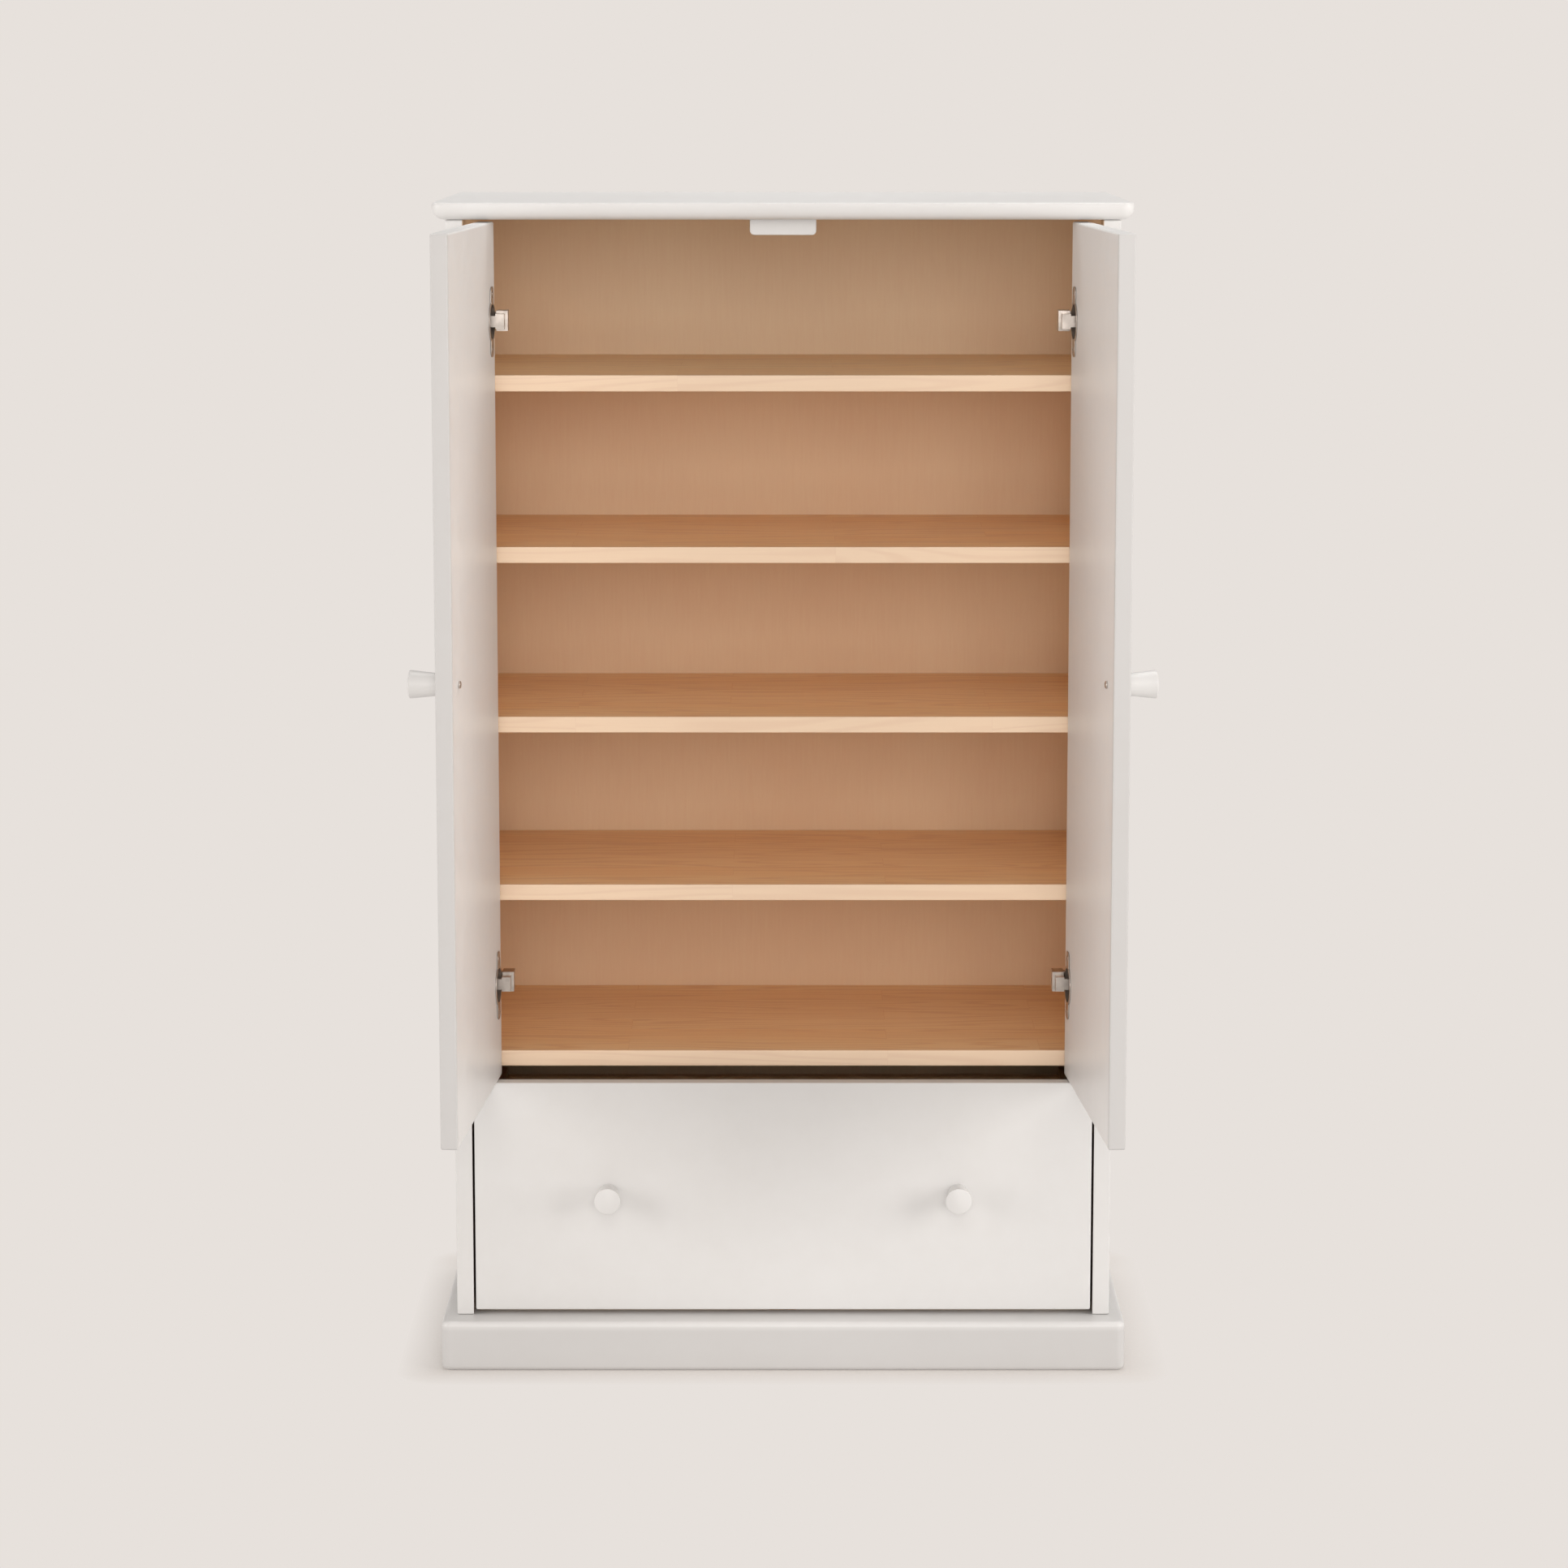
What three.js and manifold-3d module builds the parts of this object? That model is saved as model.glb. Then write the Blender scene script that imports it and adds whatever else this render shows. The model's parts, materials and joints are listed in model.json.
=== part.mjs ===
// A small white armoire: a carcass on a projecting plinth, four pine shelves behind a pair of slab
// doors on concealed cup hinges, and one full-width drawer below.
//
// Millimetres. X to the right, Y to the back, Z up. The origin is on the floor, in the middle of the
// carcass. The doors are modelled open, as the armoire stands in use.

import * as THREE from "three";
import { mergeVertices } from "three/addons/utils/BufferGeometryUtils.js";
import Module from "manifold-3d";

const wasm = await Module();
wasm.setup();

// ---- driving dimensions -------------------------------------------------------------------------

const GAP = 0.3; // between two pieces that touch
const ARRIS = 1.5; // rounding on the edges of a board

const CARCASS_WIDTH = 729;
const CARCASS_DEPTH = 385;
const SIDE_THICK = 19;
const BACK_THICK = 5.7;
const PLINTH_HEIGHT = 56;
const TOP_THICK = 18.5;
const TOTAL_HEIGHT = 1293;

const TOP_OVERHANG = 14; // past the sides and the front
const TOP_CORNER = 15; // plan radius of the front corners
const TOP_EDGE_ROUND = 2.5; // along the upper edge
const TOP_UNDER_ROUND = 13.5; // quarter-round along the lower edge

const PLINTH_SIDE_REACH = 16; // past the carcass sides
const PLINTH_FRONT_REACH = 30; // past the carcass front
const PLINTH_CORNER = 10; // plan radius of the front corners
const PLINTH_ROUND = 6; // along the upper and lower edges
const PLINTH_FRONT_RAIL = 50;
const PLINTH_SIDE_RAIL = 40;
const PLINTH_BACK_RAIL = 20;
const PLINTH_BEARER = 30;

const BASE_THICK = 15.7;
const BASE_SETBACK = 22;
const FLOOR_TOP = 351; // top face of the compartment floor
const SHELF_THICK = 18;
const SHELF_PITCH = 188.4;
const SHELF_COUNT = 4;
const SHELF_SETBACK = 34; // shelf front, behind the carcass front
const SHELF_SIDE_GAP = 0.8;

const PIN_RADIUS = 2.5;
const PIN_LENGTH = 16;
const PIN_HOLE_RADIUS = 2.8;
const PIN_HOLE_DEPTH = 9;
const PIN_ROWS = [-112, 132]; // y of the front and back rows

const STOP_WIDTH = 72;
const STOP_HEIGHT = 17;
const STOP_DEPTH = 20;
const STOP_CORNER = 5;

const DOOR_THICK = 18;
const DOOR_WIDTH = 341.5;
const DOOR_BOTTOM = 325;
const DOOR_TOP = 1271.5;
const DOOR_OPEN_ANGLE = 94; // degrees
const MEETING_GAP = 3; // between the closed doors
const PIVOT_FROM_EDGE = 19; // pivot to the hinge edge of the door

const HINGE_FROM_END = 107; // hinge centre to the end of the door
const CUP_RADIUS = 20;
const CUP_WALL = 1;
const CUP_DEPTH = 13;
const CUP_FROM_EDGE = 25; // cup centre to the hinge edge of the door
const FLANGE_THICK = 1;
const FLANGE_HALF_HEIGHT = 38;
const HINGE_PIN_RADIUS = 1.5;
const HINGE_PIN_REACH = 18.6;
const KNUCKLE_RADIUS = 2.6;

const KNOB_LENGTH = 35;
const KNOB_BASE_RADIUS = 11.5;
const KNOB_END_RADIUS = 14.75;
const KNOB_FROM_EDGE = 45;
const KNOB_BORE_RADIUS = 2.3;
const KNOB_BORE_DEPTH = 15;
const DOOR_KNOB_HEIGHT = 807;
const SCREW_RADIUS = 2;
const SCREW_HEAD_RADIUS = 4;
const SCREW_HEAD_THICK = 2.5;
const SCREW_GRIP = 12; // shank inside the knob

const DRAWER_BOTTOM_Z = 62;
const DRAWER_TOP_Z = 322;
const DRAWER_FRONT_WIDTH = 687;
const DRAWER_FRONT_THICK = 18;
const DRAWER_LENGTH = 330; // behind the drawer front
const DRAWER_SIDE_THICK = 15;
const DRAWER_SIDE_OUTER = 343; // x of the outer face
const DRAWER_SIDE_Z = [78, 258];
const DRAWER_BACK_TOP = 250;
const DRAWER_PANEL = 6; // thickness of the drawer bottom
const DRAWER_PANEL_Z = 84.3;
const DRAWER_PANEL_SLOT = 6; // depth of the slot that holds it
const RUNNER_Z = [142, 158];
const RUNNER_THICK = 9.7;
const RUNNER_LENGTH = 318;
const RUNNER_CLEARANCE = 0.7;
const DRAWER_KNOB_X = 194.5;
const DRAWER_KNOB_HEIGHT = 195;

// ---- worked out from them -----------------------------------------------------------------------

const FRONT = -CARCASS_DEPTH / 2;
const BACK = CARCASS_DEPTH / 2;
const OUTER_X = CARCASS_WIDTH / 2;
const INNER_X = OUTER_X - SIDE_THICK;
const TOP_UNDERSIDE = TOTAL_HEIGHT - TOP_THICK;
const PANEL_FRONT = BACK - BACK_THICK; // front face of the back panel
const DOOR_FREE_X = MEETING_GAP / 2;
const PIVOT_X = DOOR_FREE_X + DOOR_WIDTH - PIVOT_FROM_EDGE;
const PIVOT_Y = FRONT + DOOR_THICK / 2;
const CUP_X = CUP_FROM_EDGE - PIVOT_FROM_EDGE; // from the pivot, towards the free edge
const HINGE_HEIGHTS = { lower: DOOR_BOTTOM + HINGE_FROM_END, upper: DOOR_TOP - HINGE_FROM_END };
const DRAWER_BACK_OF_FRONT = FRONT + DRAWER_FRONT_THICK;

// ---- materials ----------------------------------------------------------------------------------

const FINISHES = {
  whitePaint: { color: 0xe4dfdb, roughness: 0.45, metalness: 0 },
  pine: { color: 0xe2bd94, roughness: 0.55, metalness: 0 },
  backPanel: { color: 0xb8906f, roughness: 0.5, metalness: 0 },
  drawerBox: { color: 0xdcb88c, roughness: 0.6, metalness: 0 },
  hardwood: { color: 0xb98552, roughness: 0.5, metalness: 0 },
  nickel: { color: 0xc9c6c0, roughness: 0.28, metalness: 1 },
};

const armoire = new THREE.Group();

// Adds a named mesh, with a material of its own, to the armoire or to a group inside it.
function add(name, geometry, finish, position = [0, 0, 0], parent = armoire) {
  const mesh = new THREE.Mesh(geometry, new THREE.MeshStandardMaterial(FINISHES[finish]));
  mesh.name = name;
  mesh.position.set(...position);
  parent.add(mesh);
}

// ---- solids -------------------------------------------------------------------------------------

// The geometry as a solid that can be joined and cut.
function toSolid(geometry) {
  const bare = geometry.clone();
  bare.deleteAttribute("normal");
  bare.deleteAttribute("uv");
  const merged = mergeVertices(bare, 1e-4);
  return new wasm.Manifold(new wasm.Mesh({
    numProp: 3,
    vertProperties: new Float32Array(merged.attributes.position.array),
    triVerts: new Uint32Array(merged.index.array),
  }));
}

function toGeometry(solid) {
  const mesh = solid.getMesh();
  const geometry = new THREE.BufferGeometry();
  geometry.setAttribute("position", new THREE.BufferAttribute(mesh.vertProperties, 3));
  geometry.setIndex(new THREE.BufferAttribute(mesh.triVerts, 1));
  geometry.computeVertexNormals();
  return geometry;
}

function joined(geometries) {
  return toGeometry(geometries.map(toSolid).reduce((whole, piece) => whole.add(piece)));
}

function cut(geometry, cutters) {
  const start = toSolid(geometry);
  return toGeometry(cutters.map(toSolid).reduce((whole, cutter) => whole.subtract(cutter), start));
}

function common(geometries) {
  return toGeometry(geometries.map(toSolid).reduce((whole, piece) => whole.intersect(piece)));
}

// A box between two corners.
function block([x0, y0, z0], [x1, y1, z1]) {
  const size = [x1 - x0, y1 - y0, z1 - z0].map(Math.abs);
  const box = new THREE.BoxGeometry(...size);
  return box.translate((x0 + x1) / 2, (y0 + y1) / 2, (z0 + z1) / 2);
}

// A rod from start, length long, along one of the axes "x", "y" or "z".
function rod(radius, length, axis, [x, y, z], sides = 12) {
  const geometry = new THREE.CylinderGeometry(radius, radius, length, sides);
  if (axis === "x") geometry.rotateZ(Math.PI / 2);
  if (axis === "z") geometry.rotateX(Math.PI / 2);
  const middle = { x: [length / 2, 0, 0], y: [0, length / 2, 0], z: [0, 0, length / 2] }[axis];
  return geometry.translate(x + middle[0], y + middle[1], z + middle[2]);
}

// A rectangle centred on the origin, with rounded corners.
function roundedRectangle(width, height, radius) {
  const x = width / 2 - radius;
  const y = height / 2 - radius;
  const shape = new THREE.Shape();
  shape.absarc(x, y, radius, 0, Math.PI / 2);
  shape.absarc(-x, y, radius, Math.PI / 2, Math.PI);
  shape.absarc(-x, -y, radius, Math.PI, 1.5 * Math.PI);
  shape.absarc(x, -y, radius, 1.5 * Math.PI, 2 * Math.PI);
  return shape;
}

// An outline raised from z = 0 to z = height, its upper and lower edges rounded by the given radius.
function eased(shape, height, radius, roundSteps, cornerSteps = roundSteps) {
  const geometry = new THREE.ExtrudeGeometry(shape, {
    depth: height - 2 * radius,
    bevelThickness: radius,
    bevelSize: radius,
    bevelOffset: -radius,
    bevelSegments: roundSteps,
    curveSegments: cornerSteps,
  });
  return geometry.translate(0, 0, radius);
}

// A board centred on the origin, every edge eased. Its thickness is the smallest of the three sizes.
function board(x, y, z, arris = ARRIS, steps = 2) {
  const sizes = [x, y, z];
  const axes = [[1, 0, 0], [0, 1, 0], [0, 0, 1]].map((axis) => new THREE.Vector3(...axis));
  const thin = sizes.indexOf(Math.min(...sizes));
  const across = (thin + 1) % 3;
  const along = (thin + 2) % 3;
  const outline = roundedRectangle(sizes[across], sizes[along], arris * 1.4);
  const geometry = eased(outline, sizes[thin], arris, steps);
  geometry.translate(0, 0, -sizes[thin] / 2);
  const turn = new THREE.Matrix4().makeBasis(axes[across], axes[along], axes[thin]);
  return geometry.applyMatrix4(turn);
}

// A board given by the span it fills along each axis. Hidden boards get a plain chamfer, in one step.
function addBoard(name, finish, spanX, spanY, spanZ, steps = 2) {
  const spans = [spanX, spanY, spanZ];
  const sizes = spans.map(([low, high]) => high - low);
  const middle = spans.map(([low, high]) => (low + high) / 2);
  add(name, board(...sizes, ARRIS, steps), finish, middle);
}

// ---- carcass ------------------------------------------------------------------------------------

// One outline with a large round below meets the same outline with a small round above, and the back
// edge is sawn square.
function topPanel() {
  const spare = 40;
  const reach = TOP_OVERHANG;
  const width = CARCASS_WIDTH + 2 * reach;
  const depth = CARCASS_DEPTH + reach;
  const outline = roundedRectangle(width, depth + spare, TOP_CORNER);
  const under = eased(outline, TOP_THICK + spare, TOP_UNDER_ROUND, 5, 6);
  const upper = eased(outline, TOP_THICK + spare, TOP_EDGE_ROUND, 2, 6).translate(0, 0, -spare);
  const low = [-width, -(depth + spare), -spare];
  const high = [width, (depth - spare) / 2, spare];
  const slab = common([under, upper, block(low, high)]);
  add("top_panel", slab, "whitePaint", [0, FRONT - reach + (depth + spare) / 2, TOP_UNDERSIDE]);
}

// Height of the centre of the pins under each shelf.
function pinHeights() {
  const heights = [];
  for (let shelf = 1; shelf <= SHELF_COUNT; shelf += 1) {
    heights.push(FLOOR_TOP + shelf * SHELF_PITCH - SHELF_THICK - GAP - PIN_RADIUS);
  }
  return heights;
}

function side(name, hand) {
  const bottom = PLINTH_HEIGHT + GAP;
  const top = TOP_UNDERSIDE - GAP;
  const depth = PANEL_FRONT - GAP - FRONT;
  const middle = [hand * (OUTER_X - SIDE_THICK / 2), FRONT + depth / 2, (bottom + top) / 2];
  const inner = -hand * (SIDE_THICK / 2);
  const holes = [];
  for (const height of pinHeights()) {
    for (const row of PIN_ROWS) {
      const from = hand > 0 ? inner - 1 : inner - PIN_HOLE_DEPTH;
      const place = [from, row - middle[1], height - middle[2]];
      holes.push(rod(PIN_HOLE_RADIUS, PIN_HOLE_DEPTH + 1, "x", place, 10));
    }
  }
  add(name, cut(board(SIDE_THICK, depth, top - bottom), holes), "whitePaint", middle);
}

function backPanel() {
  const margin = 2.5; // short of the outside of the carcass, so that its edge stays hidden
  const half = OUTER_X - margin;
  const span = [PLINTH_HEIGHT + margin, TOP_UNDERSIDE - GAP];
  addBoard("back_panel", "backPanel", [-half, half], [PANEL_FRONT, BACK], span);
}

function basePanel() {
  const half = INNER_X - GAP;
  const bottom = PLINTH_HEIGHT + GAP;
  const depth = [FRONT + BASE_SETBACK, PANEL_FRONT - GAP];
  addBoard("base_panel", "drawerBox", [-half, half], depth, [bottom, bottom + BASE_THICK], 1);
}

function compartmentFloor() {
  const half = INNER_X - GAP;
  const depth = [FRONT + SHELF_SETBACK, PANEL_FRONT - GAP];
  addBoard("compartment_floor", "pine", [-half, half], depth, [FLOOR_TOP - SHELF_THICK, FLOOR_TOP]);
}

function shelves() {
  const half = INNER_X - SHELF_SIDE_GAP;
  const depth = [FRONT + SHELF_SETBACK, PANEL_FRONT - SHELF_SIDE_GAP];
  for (let shelf = 1; shelf <= SHELF_COUNT; shelf += 1) {
    const top = FLOOR_TOP + shelf * SHELF_PITCH;
    addBoard(`shelf_${shelf}`, "pine", [-half, half], depth, [top - SHELF_THICK, top]);
  }
}

function shelfPins() {
  const places = [["left", -1], ["right", 1]];
  pinHeights().forEach((height, index) => {
    for (const [hand, sign] of places) {
      PIN_ROWS.forEach((row, which) => {
        const outerEnd = INNER_X + PIN_HOLE_DEPTH - GAP;
        const from = sign > 0 ? outerEnd - PIN_LENGTH : -outerEnd;
        const pin = rod(PIN_RADIUS, PIN_LENGTH, "x", [0, 0, 0], 8);
        const name = `shelf_pin_${index + 1}_${["front", "back"][which]}_${hand}`;
        add(name, pin, "nickel", [from, row, height]);
      });
    }
  });
}

// A tab under the middle of the top that the closed doors rest against.
function doorStop() {
  const half = STOP_WIDTH / 2;
  const shape = new THREE.Shape();
  shape.moveTo(half, STOP_HEIGHT);
  shape.lineTo(-half, STOP_HEIGHT);
  shape.lineTo(-half, STOP_CORNER);
  shape.absarc(-half + STOP_CORNER, STOP_CORNER, STOP_CORNER, Math.PI, 1.5 * Math.PI);
  shape.absarc(half - STOP_CORNER, STOP_CORNER, STOP_CORNER, 1.5 * Math.PI, 2 * Math.PI);
  const tab = eased(shape, STOP_DEPTH, 1, 2, 4);
  tab.rotateX(Math.PI / 2);
  const front = FRONT + DOOR_THICK + 0.5;
  const bottom = TOP_UNDERSIDE - GAP - STOP_HEIGHT;
  add("door_stop", tab, "whitePaint", [0, front + STOP_DEPTH, bottom]);
}

// ---- plinth -------------------------------------------------------------------------------------

const PLINTH_HALF_WIDTH = OUTER_X + PLINTH_SIDE_REACH;
const PLINTH_FRONT = FRONT - PLINTH_FRONT_REACH;
const PLINTH_RAIL_BACK = PLINTH_FRONT + PLINTH_FRONT_RAIL; // back face of the front rail

function plinthFront() {
  const spare = 20;
  const depth = PLINTH_FRONT_RAIL + spare;
  const outline = roundedRectangle(2 * PLINTH_HALF_WIDTH, depth, PLINTH_CORNER);
  const rail = eased(outline, PLINTH_HEIGHT, PLINTH_ROUND, 4, 5);
  const waste = block([-OUTER_X * 2, depth / 2 - spare, -1], [OUTER_X * 2, depth, PLINTH_HEIGHT + 1]);
  add("plinth_front", cut(rail, [waste]), "whitePaint", [0, PLINTH_FRONT + depth / 2, 0]);
}

// A side rail is rounded along its two outer edges and square everywhere else.
function plinthSide(name, hand) {
  const inner = 0;
  const outer = PLINTH_SIDE_RAIL - PLINTH_ROUND;
  const shape = new THREE.Shape();
  shape.moveTo(inner, 0);
  shape.lineTo(outer, 0);
  shape.absarc(outer, PLINTH_ROUND, PLINTH_ROUND, 1.5 * Math.PI, 2 * Math.PI);
  shape.absarc(outer, PLINTH_HEIGHT - PLINTH_ROUND, PLINTH_ROUND, 0, Math.PI / 2);
  shape.lineTo(inner, PLINTH_HEIGHT);
  const length = BACK - PLINTH_RAIL_BACK - GAP;
  const rail = new THREE.ExtrudeGeometry(shape, { depth: length, bevelEnabled: false, curveSegments: 4 });
  rail.rotateX(Math.PI / 2);
  const x = hand * (PLINTH_HALF_WIDTH - PLINTH_SIDE_RAIL);
  if (hand < 0) rail.rotateZ(Math.PI);
  const y = hand > 0 ? BACK : PLINTH_RAIL_BACK + GAP;
  add(name, rail, "whitePaint", [x, y, 0]);
}

function plinthBackAndBearer() {
  const half = PLINTH_HALF_WIDTH - PLINTH_SIDE_RAIL - GAP;
  const tall = [0, PLINTH_HEIGHT];
  addBoard("plinth_back", "drawerBox", [-half, half], [BACK - PLINTH_BACK_RAIL, BACK], tall, 1);
  const run = [PLINTH_RAIL_BACK + GAP, BACK - PLINTH_BACK_RAIL - GAP];
  addBoard("plinth_bearer", "drawerBox", [-PLINTH_BEARER / 2, PLINTH_BEARER / 2], run, tall, 1);
}

// ---- doors --------------------------------------------------------------------------------------

// A group whose origin is the door's hinge axis. Inside it the door is drawn closed, x running from
// the pivot towards the free edge when multiplied by the sign of the hand.
function doorGroup(hand) {
  const group = new THREE.Group();
  group.position.set(hand * PIVOT_X, PIVOT_Y, 0);
  group.rotation.z = hand * THREE.MathUtils.degToRad(DOOR_OPEN_ANGLE);
  armoire.add(group);
  return group;
}

const DOOR_KNOB_X = DOOR_WIDTH - PIVOT_FROM_EDGE - KNOB_FROM_EDGE; // from the pivot

function doorLeaf(name, group, inward) {
  const middleX = inward * (DOOR_WIDTH / 2 - PIVOT_FROM_EDGE);
  const middleZ = (DOOR_BOTTOM + DOOR_TOP) / 2;
  const face = DOOR_THICK / 2;
  const cutters = [];
  for (const height of Object.values(HINGE_HEIGHTS)) {
    const place = [inward * CUP_X - middleX, face - CUP_DEPTH - GAP, height - middleZ];
    cutters.push(rod(CUP_RADIUS + GAP, CUP_DEPTH + 1, "y", place, 32));
  }
  const hole = [inward * DOOR_KNOB_X - middleX, -DOOR_THICK, DOOR_KNOB_HEIGHT - middleZ];
  cutters.push(rod(KNOB_BORE_RADIUS, 2 * DOOR_THICK, "y", hole));
  const leaf = board(DOOR_WIDTH, DOOR_THICK, DOOR_TOP - DOOR_BOTTOM, 1.8);
  add(name, cut(leaf, cutters), "whitePaint", [middleX, 0, middleZ], group);
}

// A turned knob pointing along -Y from its base at the origin: it flares to a slightly domed end.
function knobGeometry() {
  const dome = 2;
  const edge = 1.6;
  const profile = [
    [0, 0],
    [KNOB_BASE_RADIUS - 0.8, 0],
    [KNOB_BASE_RADIUS, 0.8],
    [KNOB_END_RADIUS, KNOB_LENGTH - dome - edge],
    [KNOB_END_RADIUS - 0.4, KNOB_LENGTH - dome - edge / 3],
    [KNOB_END_RADIUS - edge, KNOB_LENGTH - dome],
    [KNOB_END_RADIUS / 2, KNOB_LENGTH - dome / 3],
    [0, KNOB_LENGTH],
  ].map(([radius, height]) => new THREE.Vector2(radius, height));
  return new THREE.LatheGeometry(profile, 24).rotateX(Math.PI);
}

// The same knob with a blind bore in its base.
function boredKnob() {
  const bore = rod(KNOB_BORE_RADIUS, KNOB_BORE_DEPTH + 1, "y", [0, -KNOB_BORE_DEPTH, 0]);
  return cut(knobGeometry(), [bore]);
}

function knobScrewGeometry() {
  const inside = DOOR_THICK / 2 + GAP;
  const shankEnd = -(DOOR_THICK / 2 + GAP + SCREW_GRIP);
  const profile = [
    [0, shankEnd],
    [SCREW_RADIUS, shankEnd],
    [SCREW_RADIUS, inside],
    [SCREW_HEAD_RADIUS, inside],
    [SCREW_HEAD_RADIUS, inside + SCREW_HEAD_THICK * 0.5],
    [SCREW_HEAD_RADIUS * 0.75, inside + SCREW_HEAD_THICK * 0.85],
    [0, inside + SCREW_HEAD_THICK],
  ].map(([radius, height]) => new THREE.Vector2(radius, height));
  return new THREE.LatheGeometry(profile, 16);
}

// The cup sunk into the door, with the flange that is screwed to the inner face. A hole through each
// end of the cup wall carries the hinge pin, which lies on the door's pivot.
function hingeCup(name, group, inward, height) {
  const face = DOOR_THICK / 2;
  const top = face + GAP + FLANGE_THICK;
  const outer = rod(CUP_RADIUS, CUP_DEPTH + GAP + FLANGE_THICK, "y", [0, face - CUP_DEPTH, 0], 32);
  const collar = rod(CUP_RADIUS + 2.5, FLANGE_THICK, "y", [0, face + GAP, 0], 32);
  const wings = eased(roundedRectangle(20, 2 * FLANGE_HALF_HEIGHT, 7), FLANGE_THICK, 0.3, 1, 4);
  wings.rotateX(Math.PI / 2).translate(0, top, 0);
  const hollow = rod(CUP_RADIUS - CUP_WALL, top + CUP_DEPTH, "y", [0, face - CUP_DEPTH + CUP_WALL, 0], 32);
  const pinHole = rod(HINGE_PIN_RADIUS + 0.5, 3 * CUP_RADIUS, "z", [-inward * CUP_X, 0, -1.5 * CUP_RADIUS]);
  const cup = cut(joined([outer, collar, wings]), [hollow, pinHole]);
  add(name, cup, "nickel", [inward * CUP_X, 0, height], group);
}

function door(hand, sign) {
  const group = doorGroup(sign);
  const inward = -sign;
  const knobAt = [inward * DOOR_KNOB_X, -(DOOR_THICK / 2 + GAP), DOOR_KNOB_HEIGHT];
  doorLeaf(`door_${hand}`, group, inward);
  add(`door_knob_${hand}`, boredKnob(), "whitePaint", knobAt, group);
  add(`knob_screw_${hand}`, knobScrewGeometry(), "nickel", [knobAt[0], 0, knobAt[2]], group);
  for (const [level, height] of Object.entries(HINGE_HEIGHTS)) {
    hingeCup(`hinge_cup_${hand}_${level}`, group, inward, height);
  }
}

// ---- hinge arms and plates, on the carcass ------------------------------------------------------

const ARM_OUTER = -13.2; // x from the pivot, towards the middle of the armoire
const PLATE_FACE = PIVOT_X - INNER_X + GAP; // x of the plate's seat on the carcass side

// The arm carries the hinge pin in its knuckle, comes out of the cup, turns back past the edge of the
// open door, and lies along the carcass side on its plate.
function hingeArm(name, sign, height) {
  const towards = (x) => -sign * x;
  const bar = (x0, x1, y0, y1, half) => block([towards(x0), y0, -half], [towards(x1), y1, half]);
  const pieces = [
    rod(HINGE_PIN_RADIUS, 2 * HINGE_PIN_REACH, "z", [0, 0, -HINGE_PIN_REACH]),
    rod(KNUCKLE_RADIUS, 12, "z", [0, 0, -6]),
    bar(0, 13, -KNUCKLE_RADIUS + 0.1, KNUCKLE_RADIUS - 0.1, 6),
    bar(12.5, 22, -KNUCKLE_RADIUS, 13, 8),
    bar(12.5, 25, 12, 32, 11),
    bar(-4, 24, 24, 32, 9),
    bar(ARM_OUTER, -3, 24, 88, 9),
  ];
  add(name, joined(pieces), "nickel", [sign * PIVOT_X, PIVOT_Y, height]);
}

// A cross-shaped base with a raised spine that the arm is clamped to.
function hingePlate(name, sign, height) {
  const towards = (x) => -sign * x;
  const bar = (x0, x1, y0, y1, half) => block([towards(x0), y0, -half], [towards(x1), y1, half]);
  const wing = bar(PLATE_FACE, PLATE_FACE + 3, 46, 68, 27);
  const spine = bar(PLATE_FACE, ARM_OUTER - GAP, 29, 94, 8);
  add(name, joined([wing, spine]), "nickel", [sign * PIVOT_X, PIVOT_Y, height]);
}

// ---- drawer -------------------------------------------------------------------------------------

// The section of a side, drawn from the inner face (x = 0) outwards: a slot for the bottom panel on
// the inside and a groove for the runner on the outside.
function drawerSide(name, sign) {
  const [bottom, top] = DRAWER_SIDE_Z;
  const groove = DRAWER_SIDE_OUTER - (INNER_X - GAP - RUNNER_THICK) + RUNNER_CLEARANCE;
  const thick = DRAWER_SIDE_THICK;
  const slotLow = DRAWER_PANEL_Z - GAP;
  const slotHigh = DRAWER_PANEL_Z + DRAWER_PANEL + GAP;
  const points = [
    [0, bottom],
    [thick, bottom],
    [thick, RUNNER_Z[0] - RUNNER_CLEARANCE],
    [thick - groove, RUNNER_Z[0] - RUNNER_CLEARANCE],
    [thick - groove, RUNNER_Z[1] + RUNNER_CLEARANCE],
    [thick, RUNNER_Z[1] + RUNNER_CLEARANCE],
    [thick, top],
    [0, top],
    [0, slotHigh],
    [DRAWER_PANEL_SLOT, slotHigh],
    [DRAWER_PANEL_SLOT, slotLow],
    [0, slotLow],
  ];
  const shape = new THREE.Shape(points.map(([x, z]) => new THREE.Vector2(sign * x, z)));
  const section = new THREE.ExtrudeGeometry(shape, { depth: DRAWER_LENGTH, bevelEnabled: false });
  section.rotateX(Math.PI / 2);
  const innerX = sign * (DRAWER_SIDE_OUTER - thick);
  add(name, section, "drawerBox", [innerX, DRAWER_BACK_OF_FRONT + GAP + DRAWER_LENGTH, 0]);
}

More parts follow.
